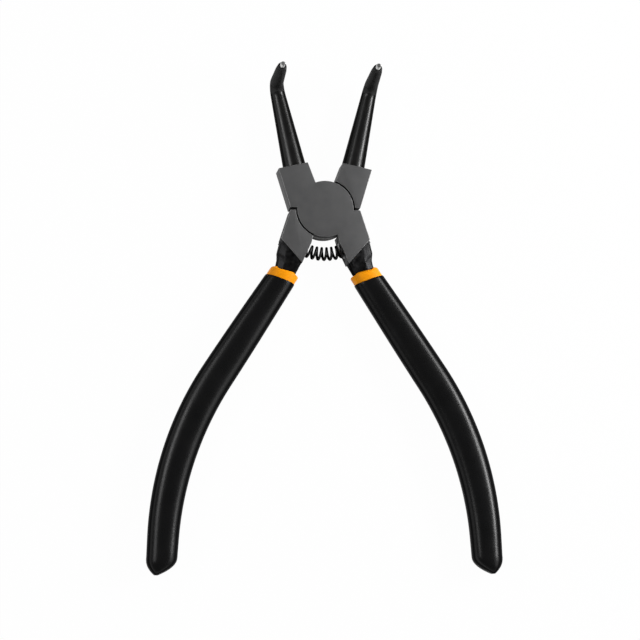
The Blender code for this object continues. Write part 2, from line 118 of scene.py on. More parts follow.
TIP_PIN_CHAMFER = 0.25 * MM
TIP_PIN_CHAMFER_KNEE = 0.3

# The nose's end: how far each ring lies before the shoulder, and its radius
NOSE_END_PROFILE = (
    (4.0 * MM, NOSE_END_RADIUS + 0.32 * MM),
    (1.6 * MM, NOSE_END_RADIUS + 0.1 * MM),
    (0.6 * MM, NOSE_END_RADIUS),
    (0.3 * MM, NOSE_END_RADIUS - 0.06 * MM),
    (0.1 * MM, NOSE_END_RADIUS - 0.18 * MM),
    (0.0, NOSE_END_RADIUS - 0.36 * MM),
    (0.0, TIP_PIN_RADIUS + 0.12 * MM),
    (0.2 * MM, TIP_PIN_RADIUS + 0.06 * MM),
)

# Tang
GROUND_CORNER = (15.1 * MM, -10.3 * MM)
GROUND_HEEL = (8.0 * MM, -18.5 * MM)
TANG_OUTER_BULGE = ((16.3 * MM, -14.6 * MM), (16.25 * MM, -17.0 * MM))
TANG_INNER_BEND = (4.8 * MM, -11.6 * MM)
TANG_INNER_ANGLE = math.radians(25.0)
TANG_END_WIDTH = 7.5 * MM
TANG_END_THICKNESS = 6.6 * MM

# Black forging: half of its section's corners, across and up, as shares of its half sizes
FORGING_CORNERS = (
    (1, 0), (0.985, 0.5), (0.86, 0.7), (0.34, 0.97), (0.22, 1), (-0.8, 1), (-0.96, 0.82),
)
# Near the ground face the section is a box with this much side; its corners start with the
# first share of their depth and gain the rest as fast as the second says
FORGING_SIDE = 0.4
FORGING_DEPTH = (0.25, 1.6)
FORGING_STEPS = 26
FORGING_SUNK_STEPS = 2
FORGING_SUNK_STEP = 0.4 * MM
FORGING_TUCK = 0.14 * MM
FORGING_DROP = 0.3 * MM
# Lumps, large and small: how many to a metre, and how high
LUMPS = ((330, 0.14 * MM), (900, 0.05 * MM))
LUMPS_GROW = 3

# Handle
HANDLE_TOP = (13.4 * MM, -21.1 * MM)
HANDLE_ANGLE = math.radians(33.1)
HANDLE_STRAIGHT = 42.2 * MM
HANDLE_ARC_RADIUS = 111.0 * MM
HANDLE_END_ANGLE = math.radians(3.4)
HANDLE_TAIL = 12.4 * MM
DIP_ANGLE = math.radians(17.0)
SLANT_LENGTH = 15.5 * MM
CORE_SIZE = (6.2 * MM, 5.0 * MM)
CORE_START = -3.6 * MM
CORE_END_INSET = 7.5 * MM
COAT_GAP = 0.3 * MM
UNDERCOAT_WALL = 0.55 * MM
COLLAR_LENGTH = 3.1 * MM
COLLAR_WIDTH = 9.75 * MM
COLLAR_THICKNESS = 8.6 * MM
COLLAR_BEAD = 0.8 * MM
COLLAR_BORE_START = 0.4 * MM
COLLAR_OVERLAP = 0.25 * MM
COLLAR_SEAT_INSET = 0.5 * MM
COLLAR_END = COLLAR_LENGTH + 0.6 * MM
# How far the collar's edge wanders once, three times and five times round the handle
COLLAR_SLOPE = 0.42 * MM
COLLAR_SKEW = 0.32
COLLAR_RIPPLE = 0.12 * MM
RIGHT_COLLAR_PHASE = 0.2
GRIP_TOP_WIDTH = 10.0 * MM
GRIP_MIDDLE_WIDTH = 11.7 * MM
GRIP_END_WIDTH = 10.1 * MM
GRIP_MIDDLE_AT = 47.0 * MM
GRIP_NOSE_LENGTH = 6.0 * MM
GRIP_APEX_OFFSET = 1.65 * MM
GRIP_APEX_SIZE = (1.2 * MM, 3.0 * MM)
GRIP_APEX_BEND = 1.6
GRIP_NOSE_BLUNTNESS = 2.2
GRIP_LIP = 0.4 * MM
GRIP_SEAT_INSET = 0.1 * MM
GRIP_SEAT_LENGTH = 1.0 * MM
GRIP_BORE_START = 1.2 * MM
GRIP_STEP = 1.5 * MM
COAT_STEP = 6 * MM
LIP_STEPS = 6
DOME_STEPS = 14
STEEL_SQUARENESS = 5.0
GRIP_SQUARENESS = 2.3

# Return spring
SPRING_HEIGHT = -13.75 * MM
SPRING_RADIUS = 2.4 * MM
WIRE_RADIUS = 0.46 * MM
SPRING_TURNS = 10
SPRING_CLOSED_PITCH = 1.0 * MM
SPRING_TILT = math.radians(20.0)
SPRING_GAP = 0.4 * MM
POCKET_DEPTH = 3.2 * MM
POINTS_PER_TURN = 28

# Finishes: most of a noise pattern lies between these two values
PATTERN_LOW, PATTERN_HIGH = 0.3, 0.7

# Studio: the world's light falls from the horizon's to the overhead one between two slopes
FLOOR_HALF_SIZE = 6
FLOOR_COLOUR = (0.8, 0.8, 0.8, 1)
FLOOR_ROUGHNESS = 0.9
FLOOR_WHITE = 0.98
HORIZON_LIGHT = 1.0
HORIZON_UP_TO = 0.05
OVERHEAD_LIGHT = 0.16
OVERHEAD_FROM = 0.3

# Softboxes: name, place, size along Y and across, and radiance
SOFTBOXES = (
    ("left_key", (-0.44, 0.1, 0.42), (0.15, 0.16), 6.0),
    ("left_fill", (-0.44, 0.09, 0.42), (0.54, 0.16), 3.2),
    ("right_key", (0.52, 0.075, 0.31), (0.3, 0.14), 19.0),
    ("right_fill", (0.52, 0.17, 0.31), (0.6, 0.14), 8.0),
    ("lower_right_fill", (0.5, -0.3, 0.3), (0.3, 0.3), 1.2),
)

# Photo's camera: distance and shift in pixels of the 640 pixel frame, sensor in millimetres
PIXEL = 0.34 * MM
FRAME_PIXELS = 640
CAMERA_DISTANCE = 2200
CAMERA_SHIFT = (3.9, 108.9)
CAMERA_YAW = math.radians(6.75)
CAMERA_PITCH = math.radians(6.85)
CAMERA_ROLL = math.radians(0.3)
SENSOR_WIDTH = 36
CAMERA_CLIP = (0.01, 20)


def new_object(name, data):
    made = bpy.data.objects.new(name, data)
    bpy.context.scene.collection.objects.link(made)
    return made


def finish_mesh(name, shape, crease=TURNED_CREASE):
    """Turns the shape into an object, smooth but for edges that bend more than the crease."""
    bmesh.ops.recalc_face_normals(shape, faces=shape.faces)
    mesh = bpy.data.meshes.new(name)
    shape.to_mesh(mesh)
    shape.free()
    mesh.shade_smooth()
    mesh.set_sharp_from_angle(angle=crease)
    return new_object(name, mesh)


def loft(name, rings, crease=TURNED_CREASE):
    """A closed skin through rings, flat at both ends."""
    shape = bmesh.new()
    rows = [[shape.verts.new(point) for point in ring] for ring in rings]
    for row, following in zip(rows, rows[1:]):
        for i, corner in enumerate(row):
            shape.faces.new((row[i - 1], corner, following[i], following[i - 1]))
    shape.faces.new(rows[0])
    shape.faces.new(rows[-1])
    return finish_mesh(name, shape, crease)


def turns_round(count=AROUND):
    return [2 * math.pi * i / count for i in range(count)]


def circle_ring(centre, across, up, radius, count=AROUND):
    return [
        centre + (across * math.cos(t) + up * math.sin(t)) * radius for t in turns_round(count)
    ]


def mix_rings(first, second, share):
    return [a.lerp(b, share) for a, b in zip(first, second)]


def polar(radius, angle):
    """The point at this distance from the pivot and this angle outwards from straight ahead."""
    return (radius * math.sin(angle), radius * math.cos(angle))


def arc(radius, start, end):
    count = max(2, round(abs(end - start) / ARC_STEP))
    return [polar(radius, start + (end - start) * i / count) for i in range(count + 1)]


def angle_of(point):
    return math.atan2(point[0], point[1]) % (2 * math.pi)


def crossing(start, end, radius):
    """Where the line from start, inside the circle about the pivot, to end leaves it."""
    a, d = Vector(start), Vector(end) - Vector(start)
    half, rest = a.dot(d) / d.dot(d), (a.dot(a) - radius**2) / d.dot(d)
    return tuple(a + d * (math.sqrt(half**2 - rest) - half))


def nose_frame(side):
    """Unit vectors along the nose and across it, outwards."""
    along = Vector((side * math.sin(NOSE_LEAN), math.cos(NOSE_LEAN), 0))
    across = Vector((side * math.cos(NOSE_LEAN), -math.sin(NOSE_LEAN), 0))
    return along, across


def in_nose_frame(side, ahead, aside):
    along, across = nose_frame(side)
    return along * ahead + across * aside + Vector((0, 0, MIDDLE))


def block_region():
    """The jaw block outside the hollow for the other half's disc."""
    outer = tuple(in_nose_frame(RIGHT, BLOCK_TOP, BLOCK_OUTER).xy)
    inner = tuple(in_nose_frame(RIGHT, BLOCK_TOP, BLOCK_INNER).xy)
    foot = crossing(polar(DISC_RADIUS, BLOCK_INNER_ANGLE), inner, HOLLOW_RADIUS)
    ear_angle = math.pi / 2 - math.asin(EAR_GAP / 2 / HOLLOW_RADIUS)
    rim = arc(HOLLOW_RADIUS, angle_of(foot), ear_angle)
    return rim + [(EAR_REACH, EAR_GAP / 2), outer, inner], rim


def tang_region():
    """The ground part of the tang outside the hollow for the other half's disc."""
    foot_angle = math.pi - TANG_INNER_ANGLE
    foot = crossing(polar(DISC_RADIUS, foot_angle), TANG_INNER_BEND, HOLLOW_RADIUS)
    ear_angle = math.pi / 2 + math.asin(EAR_GAP / 2 / HOLLOW_RADIUS)
    rim = arc(HOLLOW_RADIUS, ear_angle, angle_of(foot))
    return rim + [TANG_INNER_BEND, GROUND_HEEL, GROUND_CORNER, (EAR_REACH, -EAR_GAP / 2)], rim


def disc_region(block_rim, tang_rim):
    """The disc with what joins it to the block on the right and the tang on the left."""
    half_gap = math.asin(EAR_GAP / 2 / DISC_RADIUS)
    down = arc(DISC_RADIUS, math.pi / 2 - half_gap, math.pi + TANG_INNER_ANGLE)
    far = [(-x, y) for x, y in reversed(tang_rim)]
    up = arc(DISC_RADIUS, 1.5 * math.pi - half_gap, 2 * math.pi + BLOCK_INNER_ANGLE)
    return block_rim + down + far + up


def stepped_plate(regions):
    """One closed shape from flat regions that share edges; each is (outline, bottom, top)."""
    shape = bmesh.new()
    columns, edges = {}, {}

    def key(point):
        return round(point[0] * CORNERS_PER_METRE), round(point[1] * CORNERS_PER_METRE)

    def vertex(point, height):
        levels = columns.setdefault(key(point), {})
        if height not in levels:
            levels[height] = shape.verts.new((*point, height))
        return levels[height]

    for outline, bottom, top in regions:
        for level in (bottom, top):
            shape.faces.new([vertex(point, level) for point in outline])
        for a, b in zip(outline, outline[1:] + outline[:1]):
            spans = edges.setdefault(frozenset((key(a), key(b))), (a, b, []))[2]
            spans.append((bottom, top))
    for a, b, spans in edges.values():
        if len(spans) == 1:
            low, high = spans[0]
        else:
            (low, high), (other_low, other_high) = sorted(spans, key=lambda s: s[0] - s[1])
            low, high = (low, other_low) if other_high == high else (other_high, high)
        sides = [
            [levels[h] for h in sorted(levels) if low <= h <= high]
            for levels in (columns[key(a)], columns[key(b)])
        ]
        shape.faces.new(sides[0] + sides[1][::-1])
    bmesh.ops.recalc_face_normals(shape, faces=shape.faces)
    bmesh.ops.dissolve_limit(
        shape, angle_limit=FLAT_ENOUGH, verts=shape.verts, edges=shape.edges
    )
    return shape


def break_edges(shape, width):
    """Small rounded chamfers on every sharp edge."""
    sharp = [
        edge
        for edge in shape.edges
        if len(edge.link_faces) == 2 and edge.calc_face_angle() > EDGE_TO_BREAK
    ]
    bmesh.ops.bevel(
        shape,
        geom=sharp,
        offset=width,
        offset_type="OFFSET",
        segments=2,
        profile=0.6,
        affect="EDGES",
        clamp_overlap=True,
    )


def turned(name, profile, place, count=AROUND):
    """A solid of revolution about the local Z axis; the profile runs from bottom to top."""
    rings = [
        [place @ Vector((r * math.cos(t), r * math.sin(t), z)) for t in turns_round(count)]
        for r, z in profile
    ]
    return loft(name, rings)


def cut(target, cutter):
    """Takes the cutter out of the target's mesh and removes the cutter."""
    modifier = target.modifiers.new("cut", "BOOLEAN")
    modifier.operation = "DIFFERENCE"
    modifier.solver = "EXACT"
    modifier.object = cutter
    graph = bpy.context.evaluated_depsgraph_get()
    mesh = bpy.data.meshes.new_from_object(target.evaluated_get(graph))
    target.modifiers.clear()
    target.data = mesh
    bpy.data.objects.remove(cutter)


def sort_faces(mesh):
    """Gives broken edges the second material and the tang, rim and ear walls the third, whose dark
    colour is painted shade on these walls.
    """
    for face in mesh.polygons:
        x, y, _ = face.center
        upright = abs(face.normal.z)
        if upright < WALL_NORMAL_Z:
            jaw_wall = y > EAR_GAP and math.hypot(x, y) > HOLLOW_RADIUS + RIM_MARGIN
            face.material_index = 0 if jaw_wall else 2
        else:
            face.material_index = int(upright < FLAT_NORMAL_Z)


def lever_plate(name, jaw_side, disc_in_front):
    """The ground part of a lever: its jaw block, its half of the lap joint and its tang."""
    block, block_rim = block_region()
    tang, tang_rim = tang_region()
    disc = disc_region(block_rim, tang_rim)
    tang = [(-x, y) for x, y in tang]
    depth = MIDDLE - LAP_GAP / 2
    disc_levels = (THICKNESS - depth, THICKNESS) if disc_in_front else (0.0, depth)
    regions = [(block, 0.0, THICKNESS), (tang, 0.0, THICKNESS), (disc, *disc_levels)]
    regions = [([(jaw_side * x, y) for x, y in outline], *levels) for outline, *levels in regions]
    shape = stepped_plate(regions)
    break_edges(shape, EDGE_BREAK)
    made = finish_mesh(name, shape, PLATE_CREASE)
    cut(made, pocket_cutter(-jaw_side))
    if not disc_in_front:
        radius = PIN_HEAD_RADIUS + RUNNING_GAP
        profile = [
            (radius + 3 * EDGE_BREAK, -2 * EDGE_BREAK),
            (radius, EDGE_BREAK),
            (radius, PIN_HEAD_THICKNESS + RUNNING_GAP),
        ]
        cut(made, turned("counterbore", profile, Matrix()))
    sort_faces(made.data)
    return made


def tang_inner_x(y):
    """How far out the tang's inner face lies at this y."""
    (x0, y0), (x1, y1) = TANG_INNER_BEND, GROUND_HEEL
    return x0 + (x1 - x0) * (y - y0) / (y1 - y0)


def pocket_cutter(side):
    """The spring's seat in the tang, open inwards."""
    mouth = Vector((side * tang_inner_x(SPRING_HEIGHT), SPRING_HEIGHT, MIDDLE))
    inwards = Vector((side * math.cos(SPRING_TILT), math.sin(SPRING_TILT), 0))
    turn = inwards.to_track_quat("Z", "Y").to_matrix().to_4x4()
    radius = SPRING_RADIUS + SPRING_GAP
    profile = [(radius, -SPRING_RADIUS), (radius, POCKET_DEPTH)]
    return turned("pocket", profile, Matrix.Translation(mouth) @ turn, POCKET_AROUND)


def tip_direction(side):
    along, across = nose_frame(side)
    lean = along * math.tan(TIP_LEAN_FORWARDS) - across * math.tan(TIP_LEAN_INWARDS)
    return (Vector((0, 0, 1)) + lean).normalized()


def nose(name, side):
    """The turned cone out of the block, its bend and the shoulder round the tip pin."""
    along, _ = nose_frame(side)
    direction = tip_direction(side)
    bend = along.angle(direction)
    upwards = (direction - along * direction.dot(along)).normalized()
    sideways = along.cross(upwards)
    root, first, start = (
        in_nose_frame(side, ahead, NOSE_OFFSET)
        for ahead in (BLOCK_TOP - NOSE_ROOT, BLOCK_TOP, BEND_START)
    )
    rings = [circle_ring(at, sideways, upwards, NOSE_BASE_RADIUS) for at in (root, first)]
    for i in range(1, CONE_STEPS):
        share = i / CONE_STEPS
        radius = NOSE_BASE_RADIUS + (BEND_START_RADIUS - NOSE_BASE_RADIUS) * share
        rings.append(circle_ring(first.lerp(start, share), sideways, upwards, radius))
    for i in range(BEND_STEPS + 1):
        share = i / BEND_STEPS
        angle = bend * share
        sweep = along * math.sin(angle) + upwards * (1 - math.cos(angle))
        radius = BEND_START_RADIUS + (BEND_END_RADIUS - BEND_START_RADIUS) * share
        up = upwards * math.cos(angle) - along * math.sin(angle)
        rings.append(circle_ring(start + sweep * BEND_RADIUS, sideways, up, radius))
    sweep = along * math.sin(bend) + upwards * (1 - math.cos(bend))
    bend_end = start + sweep * BEND_RADIUS
    reach = (MIDDLE + TIP_HEIGHT - bend_end.z) / direction.z - TIP_PIN_STAND
    shoulder = bend_end + direction * reach
    up = upwards * math.cos(bend) - along * math.sin(bend)
    for before, radius in NOSE_END_PROFILE:
        if before < reach:
            rings.append(circle_ring(shoulder - direction * before, sideways, up, radius))
    made = loft(name, rings)
    for face in made.data.polygons:
        face.material_index = int(face.center.dot(along) > MATTE_FROM)
    return made, shoulder, direction


def tip_pin(name, shoulder, direction):
    turn = direction.to_track_quat("Z", "Y").to_matrix().to_4x4()
    knee = TIP_PIN_CHAMFER_KNEE * TIP_PIN_CHAMFER
    profile = [
        (TIP_PIN_RADIUS, -TIP_PIN_SEAT),
        (TIP_PIN_RADIUS, TIP_PIN_STAND - TIP_PIN_CHAMFER),
        (TIP_PIN_RADIUS - knee, TIP_PIN_STAND - knee),
        (TIP_PIN_RADIUS - TIP_PIN_CHAMFER, TIP_PIN_STAND),
    ]
    return turned(name, profile, Matrix.Translation(shoulder) @ turn, PIN_AROUND)


def handle_length():
    turn = HANDLE_ANGLE - HANDLE_END_ANGLE
    return HANDLE_STRAIGHT + HANDLE_ARC_RADIUS * turn + HANDLE_TAIL


def handle_point(distance):
    """The handle's centreline at this distance past the collar, and its angle outwards."""
    x, y = HANDLE_TOP
    straight = min(distance, HANDLE_STRAIGHT)
    x += straight * math.sin(HANDLE_ANGLE)
    y -= straight * math.cos(HANDLE_ANGLE)
    arc_length = HANDLE_ARC_RADIUS * (HANDLE_ANGLE - HANDLE_END_ANGLE)
    on_arc = min(max(distance - HANDLE_STRAIGHT, 0), arc_length)
    angle = HANDLE_ANGLE - on_arc / HANDLE_ARC_RADIUS
    x += HANDLE_ARC_RADIUS * (math.cos(angle) - math.cos(HANDLE_ANGLE))
    y -= HANDLE_ARC_RADIUS * (math.sin(HANDLE_ANGLE) - math.sin(angle))
    tail = max(distance - HANDLE_STRAIGHT - arc_length, 0)
    return x + tail * math.sin(angle), y - tail * math.cos(angle), angle


def rounded(value, squareness):
    """A sine or cosine bent so that a squareness of 2 draws an ellipse and more a rounded box."""
    return math.copysign(abs(value) ** (2 / squareness), value)


def handle_section(side, distance, size, squareness, aside=0.0, wave=None):
    """A rounded section of the handle, its plane leaning to the dip line near the collar."""
    slant = math.tan(HANDLE_ANGLE - DIP_ANGLE) * max(0.0, 1 - max(distance, 0) / SLANT_LENGTH)
    ring = []
    for turn in turns_round():
        across = size[0] / 2 * rounded(math.cos(turn), squareness) + aside
        up = size[1] / 2 * rounded(math.sin(turn), squareness)
        shift = wave(turn) if wave else 0.0
        x, y, angle = handle_point(distance + across * slant + shift)
        x += across * math.cos(angle)
        y += across * math.sin(angle)
        ring.append(Vector((side * x, y, MIDDLE + up)))
    return ring


def spread(start, end, step):
    count = max(2, round((end - start) / step))
    return [start + (end - start) * i / count for i in range(count + 1)]


def tang_end(offset):
    """A point on the line where the tang meets the collar, this far outwards."""
    x, y = HANDLE_TOP
    return Vector((x + offset * math.cos(DIP_ANGLE), y + offset * math.sin(DIP_ANGLE)))


def tang_outer(share):
    """The forging's outer outline between the ground corner and the collar."""
    path = [Vector(point) for point in (GROUND_CORNER, *TANG_OUTER_BULGE)]
    path.append(tang_end(TANG_END_WIDTH / 2))
    place = share * (len(path) - 1)
    step = min(int(place), len(path) - 2)
    return path[step].lerp(path[step + 1], place - step)


def forging_profile():
    """The corners of the forging's section, across and up, cut into short sides."""
    below = [(across, -up) for across, up in reversed(FORGING_CORNERS[1:])]
    corners = [*FORGING_CORNERS, (-1, 0), *below]
    pairs = zip(corners, corners[1:] + corners[:1])
    steps = AROUND // len(corners) + 1
    return [
        (a[0] + (b[0] - a[0]) * i / steps, a[1] + (b[1] - a[1]) * i / steps)
        for a, b in pairs
        for i in range(steps)
    ]


def forging_rings(side):
    """Sections from just behind the ground face's slanting end down to the collar."""
    rings = []
    for i in range(-FORGING_SUNK_STEPS, FORGING_STEPS + 1):
        share, sunk = max(i, 0) / FORGING_STEPS, max(-i, 0)
        out = tang_outer(share)
        into = Vector(GROUND_HEEL).lerp(tang_end(-TANG_END_WIDTH / 2), share)
        tuck = FORGING_TUCK * (1 + sunk)
        middle, half = (out + into) / 2, (out - into) / 2
        half -= half.normalized() * tuck
        middle += Vector((half.y, -half.x)).normalized() * sunk * FORGING_SUNK_STEP
        drop = (THICKNESS - TANG_END_THICKNESS) / 2 * share + FORGING_DROP
        depth = min(1, FORGING_DEPTH[0] + FORGING_DEPTH[1] * share)
        ring = []
        for across, up in forging_profile():
            full = max(-1, min(1, up / FORGING_SIDE))
            height = full + (up - full) * depth
            flat = middle + half * across
            point = Vector((side * flat.x, flat.y, MIDDLE + (MIDDLE - drop - tuck) * height))
            swell = sum(noise.noise(point * often) * high for often, high in LUMPS)
            outwards = Vector((across, 0, height)).normalized()
            ring.append(point + outwards * swell * min(1, LUMPS_GROW * share))
        rings.append(ring)
    return rings


def shank(name, side):
    """The black forging from the ground face's end to the collar."""
    return loft(name, forging_rings(side), FORGING_CREASE)


def core(name, side):
    """The bar inside the coats, from within the forging."""
    length = handle_length() - CORE_END_INSET
    rings = [
        handle_section(side, at, CORE_SIZE, STEEL_SQUARENESS)
        for at in spread(CORE_START, length, COAT_STEP)
    ]
    return loft(name, rings, CORE_CREASE)


def grip_width(distance):
    """The grip's width: it swells to the middle of the hand and narrows to the end."""
    if distance < GRIP_MIDDLE_AT:
        share, from_width = distance / GRIP_MIDDLE_AT, GRIP_TOP_WIDTH
    else:
        rest = handle_length() - GRIP_MIDDLE_AT
        share, from_width = (handle_length() - distance) / rest, GRIP_END_WIDTH
    return from_width + (GRIP_MIDDLE_WIDTH - from_width) * math.sin(share * math.pi / 2)


def bore_rings(side, size, start, end):
    """The rings of a blind bore, from its floor to its mouth."""
    return [
        handle_section(side, at, size, STEEL_SQUARENESS)
        for at in reversed(spread(start, end, COAT_STEP))
    ]


def quarter_turns(steps):
    return [math.pi / 2 * i / steps for i in range(steps + 1)]


def collar_wave(side):
    """How far the coloured coat's edge wanders up and down round the handle."""
    phase = RIGHT_COLLAR_PHASE if side == RIGHT else 0.0

    def shift(turn):
        slope = math.cos(turn) + COLLAR_SKEW * math.cos(3 * turn + phase)
        return COLLAR_RIPPLE * math.cos(5 * turn + 2 * phase) - COLLAR_SLOPE * slope

    return shift


def undercoat(name, side):
    """The first coat: a thin sleeve over the core with a thicker collar that shows."""
    bore = [size + 2 * COAT_GAP for size in CORE_SIZE]
    skin = [size + 2 * UNDERCOAT_WALL for size in bore]
    end = handle_length() - CORE_END_INSET + COAT_GAP
    rings = bore_rings(side, bore, COLLAR_BORE_START, end)
    steel = (TANG_END_WIDTH - COLLAR_SEAT_INSET, TANG_END_THICKNESS - COLLAR_SEAT_INSET)
    full = (COLLAR_WIDTH, COLLAR_THICKNESS)
    wave = collar_wave(side)
    for turn in quarter_turns(LIP_STEPS):
        at = COLLAR_BEAD * (1 - math.cos(turn)) - COLLAR_OVERLAP
        inside = handle_section(side, at, steel, STEEL_SQUARENESS, 0.0, wave)
        outside = handle_section(side, at, full, GRIP_SQUARENESS, 0.0, wave)
        rings.append(mix_rings(inside, outside, math.sin(turn)))
    for at in ((COLLAR_BEAD + COLLAR_END) / 2, COLLAR_END):
        rings.append(handle_section(side, at, full, GRIP_SQUARENESS))
    for at in spread(COLLAR_END, end + UNDERCOAT_WALL, COAT_STEP):
        rings.append(handle_section(side, at, skin, STEEL_SQUARENESS))
    return loft(name, rings, COAT_CREASE)


def grip(name, side):
    """The second coat: a hollow handle with a round lip at the collar and a domed end."""
    reach = 2 * COAT_GAP + UNDERCOAT_WALL
    bore = [size + 2 * reach for size in CORE_SIZE]
    start = COLLAR_LENGTH
    floor = handle_length() - CORE_END_INSET + reach
    rings = bore_rings(side, bore, start + GRIP_BORE_START, floor)
    seat = (COLLAR_WIDTH - GRIP_SEAT_INSET, COLLAR_THICKNESS - GRIP_SEAT_INSET)
    rings.append(handle_section(side, start + GRIP_SEAT_LENGTH, seat, GRIP_SQUARENESS))
    top = (grip_width(start), THICKNESS)
    for turn in quarter_turns(LIP_STEPS):
        at = start + GRIP_LIP * (1 - math.cos(turn))
        inside = handle_section(side, at, seat, GRIP_SQUARENESS)
        outside = handle_section(side, at, top, GRIP_SQUARENESS)
        rings.append(mix_rings(inside, outside, math.sin(turn)))
    shoulder = handle_length() - GRIP_NOSE_LENGTH
    for at in spread(start + GRIP_SEAT_LENGTH, shoulder, GRIP_STEP):
        rings.append(handle_section(side, at, (grip_width(at), THICKNESS), GRIP_SQUARENESS))
    apex_width, apex_thickness = GRIP_APEX_SIZE
    for turn in quarter_turns(DOME_STEPS)[1:]:
        share, dome = math.sin(turn), math.cos(turn)
        narrowing = 1 - share**GRIP_NOSE_BLUNTNESS
        width = apex_width + (grip_width(shoulder) - apex_width) * narrowing
        thickness = apex_thickness + (THICKNESS - apex_thickness) * dome
        at = shoulder + GRIP_NOSE_LENGTH * share
        aside = GRIP_APEX_OFFSET * share**GRIP_APEX_BEND
        rings.append(handle_section(side, at, (width, thickness), GRIP_SQUARENESS, aside))
    return loft(name, rings, COAT_CREASE)


def spring_line(share):
    """A point on the spring's gentle bow and the way sideways from it, share running 0 to 1."""
    bow_radius = tang_inner_x(SPRING_HEIGHT) / math.sin(SPRING_TILT)
    inside = (POCKET_DEPTH - SPRING_GAP - WIRE_RADIUS) / bow_radius
    angle = (2 * share - 1) * (SPRING_TILT + inside)
    centre = Vector((0, SPRING_HEIGHT + bow_radius * math.cos(SPRING_TILT), MIDDLE))
    outwards = Vector((math.sin(angle), -math.cos(angle), 0))
    return centre + outwards * bow_radius, outwards


def spring_share(turn):
    """How far along the spring a turn lies: the end turns lie close, the others are open."""
    end_share = SPRING_CLOSED_PITCH / (2 * (tang_inner_x(SPRING_HEIGHT) + POCKET_DEPTH))
    if turn < 1:
        return end_share * turn
    if turn > SPRING_TURNS - 1:
        return 1 - end_share * (SPRING_TURNS - turn)
    return end_share + (1 - 2 * end_share) * (turn - 1) / (SPRING_TURNS - 2)


def return_spring(name):
    """Round wire wound about the spring's line."""
    points = []
    for step in range(SPRING_TURNS * POINTS_PER_TURN + 1):
        turn = step / POINTS_PER_TURN
        middle, outwards = spring_line(spring_share(turn))
        angle = 2 * math.pi * turn
        radial = outwards * math.cos(angle) + Vector((0, 0, math.sin(angle)))
        points.append((middle + radial * (SPRING_RADIUS - WIRE_RADIUS), radial))
    rings = []
    for i, (point, radial) in enumerate(points):
        before, after = points[max(i - 1, 0)][0], points[min(i + 1, len(points) - 1)][0]
        sideways = (after - before).normalized().cross(radial).normalized()
        rings.append(circle_ring(point, radial, sideways, WIRE_RADIUS, WIRE_AROUND))
    return loft(name, rings)


class Paint:
    """A material whose Principled shader is driven by a few procedural patterns.

    The scale of a pattern is how often it repeats to a metre. Roughness and specular hold the
    plain values, also where a pattern or the viewing angle varies them.
    """

    def __init__(self, name, colour, metallic=0.0, roughness=0.5, specular=0.5):
        self.material = bpy.data.materials.new(name)
        self.material.use_nodes = True
        self.nodes = self.material.node_tree.nodes
        self.links = self.material.node_tree.links
        self.shader = self.nodes["Principled BSDF"]
        self.colour = colour
        self.shader.inputs["Base Color"].default_value = (*colour, 1)
        self.shader.inputs["Metallic"].default_value = metallic
        self.shader.inputs["Roughness"].default_value = roughness
        self.shader.inputs["Specular IOR Level"].default_value = specular
        self.place = self.nodes.new("ShaderNodeTexCoord").outputs["Object"]
        self.normal = None

    def edge_tint(self, share):
        """Dims the reflection of the metal part at grazing angles."""
        self.shader.inputs["Specular Tint"].default_value = (share, share, share, 1)

    def fade_gloss(self, facing, grazing, start, end):
        """Lets the specular level fall off towards the outline, from start to end."""
        weight = self.nodes.new("ShaderNodeLayerWeight")
        level = self.range(weight.outputs["Facing"], facing, grazing, start, end)
        self.links.new(level, self.shader.inputs["Specular IOR Level"])

    def noise(self, scale, detail, stretch=(1, 1, 1), turn=0.0):
        mapping = self.nodes.new("ShaderNodeMapping")
        mapping.inputs["Rotation"].default_value = (0, 0, turn)
        mapping.inputs["Scale"].default_value = stretch
        texture = self.nodes.new("ShaderNodeTexNoise")
        texture.inputs["Scale"].default_value = scale
        texture.inputs["Detail"].default_value = detail
        self.links.new(self.place, mapping.inputs["Vector"])
        self.links.new(mapping.outputs["Vector"], texture.inputs["Vector"])
        return texture.outputs["Fac"]

    def cells(self, scale):
        texture = self.nodes.new("ShaderNodeTexVoronoi")
        texture.feature = "SMOOTH_F1"
        texture.inputs["Scale"].default_value = scale
        self.links.new(self.place, texture.inputs["Vector"])
        return texture.outputs["Distance"]

    def range(self, value, low, high, start=PATTERN_LOW, end=PATTERN_HIGH):
        """Runs from low to high as the value runs from start to end."""
        node = self.nodes.new("ShaderNodeMapRange")
        node.inputs["From Min"].default_value = start
        node.inputs["From Max"].default_value = end
        node.inputs["To Min"].default_value = low
        node.inputs["To Max"].default_value = high
        self.links.new(value, node.inputs["Value"])
        return node.outputs["Result"]

    def rough(self, value, low, high):
        self.links.new(self.range(value, low, high), self.shader.inputs["Roughness"])

    def tint(self, value, dark, light):
        """Varies the colour from dark times to light times itself with the value."""
        node = self.nodes.new("ShaderNodeMix")
        node.data_type = "RGBA"
        node.inputs["A"].default_value = (*[c * dark for c in self.colour], 1)
        node.inputs["B"].default_value = (*[c * light for c in self.colour], 1)
        self.links.new(self.range(value, 0, 1), node.inputs["Factor"])
        self.links.new(node.outputs["Result"], self.shader.inputs["Base Color"])

    def bump(self, value, height, strength):
        node = self.nodes.new("ShaderNodeBump")
        node.inputs["Strength"].default_value = strength
        node.inputs["Distance"].default_value = height
        self.links.new(value, node.inputs["Height"])
        if self.normal:
            self.links.new(self.normal, node.inputs["Normal"])
        self.normal = node.outputs["Normal"]
        self.links.new(self.normal, self.shader.inputs["Normal"])


def ground_steel():
    paint = Paint("ground_steel", (0.116, 0.116, 0.117), metallic=0.25, specular=0.06)
    paint.edge_tint(0.2)
    lines = paint.noise(900, detail=4, stretch=(0.05, 6, 1), turn=math.radians(8))
    paint.rough(lines, 0.44, 0.58)
    paint.tint(paint.noise(220, detail=5), dark=0.93, light=1.07)
    paint.bump(lines, 0.006 * MM, strength=0.5)
    return paint.material


